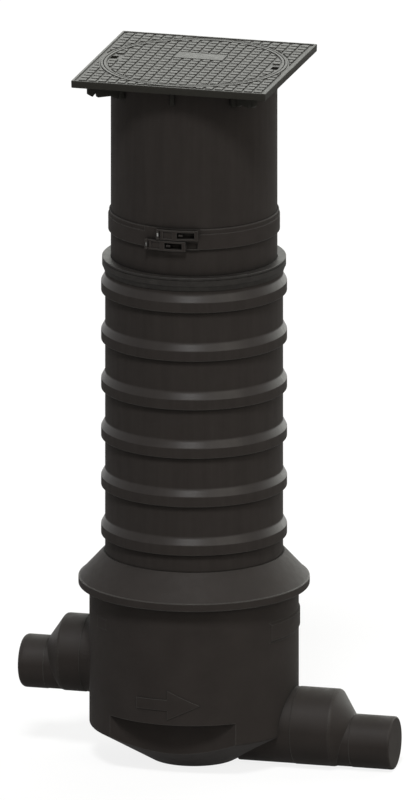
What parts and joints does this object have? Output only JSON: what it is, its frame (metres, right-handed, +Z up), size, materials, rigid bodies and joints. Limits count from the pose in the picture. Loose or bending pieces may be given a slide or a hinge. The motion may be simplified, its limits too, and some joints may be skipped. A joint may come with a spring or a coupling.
{
  "type": "drain inspection chamber",
  "caption": "Plastic drain inspection chamber with stepped inlet and outlet spigots, ribbed riser, telescopic pipe and square cast-iron cover with a round lid.",
  "frame": {"origin": "centre of the flat foot's underside, on the riser's axis", "axes": "+Z up along the riser, +X in the direction of flow towards the outlet"},
  "size_m": [0.7881, 0.4738, 1.4683],
  "materials": {
    "chamber_plastic": "black moulded plastic with a faint sheen",
    "pipe_plastic": "black extruded plastic, smooth",
    "band_plastic": "black moulded plastic",
    "seal_rubber": "black rubber, dull with a faint bloom",
    "pin_steel": "zinc-plated steel wire",
    "cover_iron": "grey cast iron with a fine sand grain, dipped in black paint"
  },
  "bodies": {
    "chamber": {"base_chamber": "chamber_plastic", "riser_ring_seal": "seal_rubber", "riser_pipe": "pipe_plastic", "telescope_seal": "seal_rubber"},
    "telescope": {"telescope_pipe": "pipe_plastic", "clamp_band": "band_plastic", "latch_pin_upper": "pin_steel", "latch_pin_lower": "pin_steel", "cover_frame": "cover_iron"},
    "link_upper": {"latch_link_upper": "band_plastic"},
    "link_lower": {"latch_link_lower": "band_plastic"},
    "lid": {"cover_lid": "cover_iron"}
  },
  "joints": [
    {"name": "telescope_slide", "type": "slide", "parent": "chamber", "child": "telescope", "axis": [0, 0, 1], "range_m": [-0.05, 0.12]},
    {"name": "link_upper_hinge", "type": "hinge", "parent": "telescope", "child": "link_upper", "pos_m": [-0.02896, -0.1808, 1.1485], "axis": [0, 0, -1], "range_deg": [0, 95]},
    {"name": "link_lower_hinge", "type": "hinge", "parent": "telescope", "child": "link_lower", "pos_m": [-0.05445, -0.17482, 1.1255], "axis": [0, 0, -1], "range_deg": [0, 95]},
    {"name": "lid_lift", "type": "slide", "parent": "telescope", "child": "lid", "axis": [0, 0, 1], "range_m": [0, 0.25]}
  ]
}
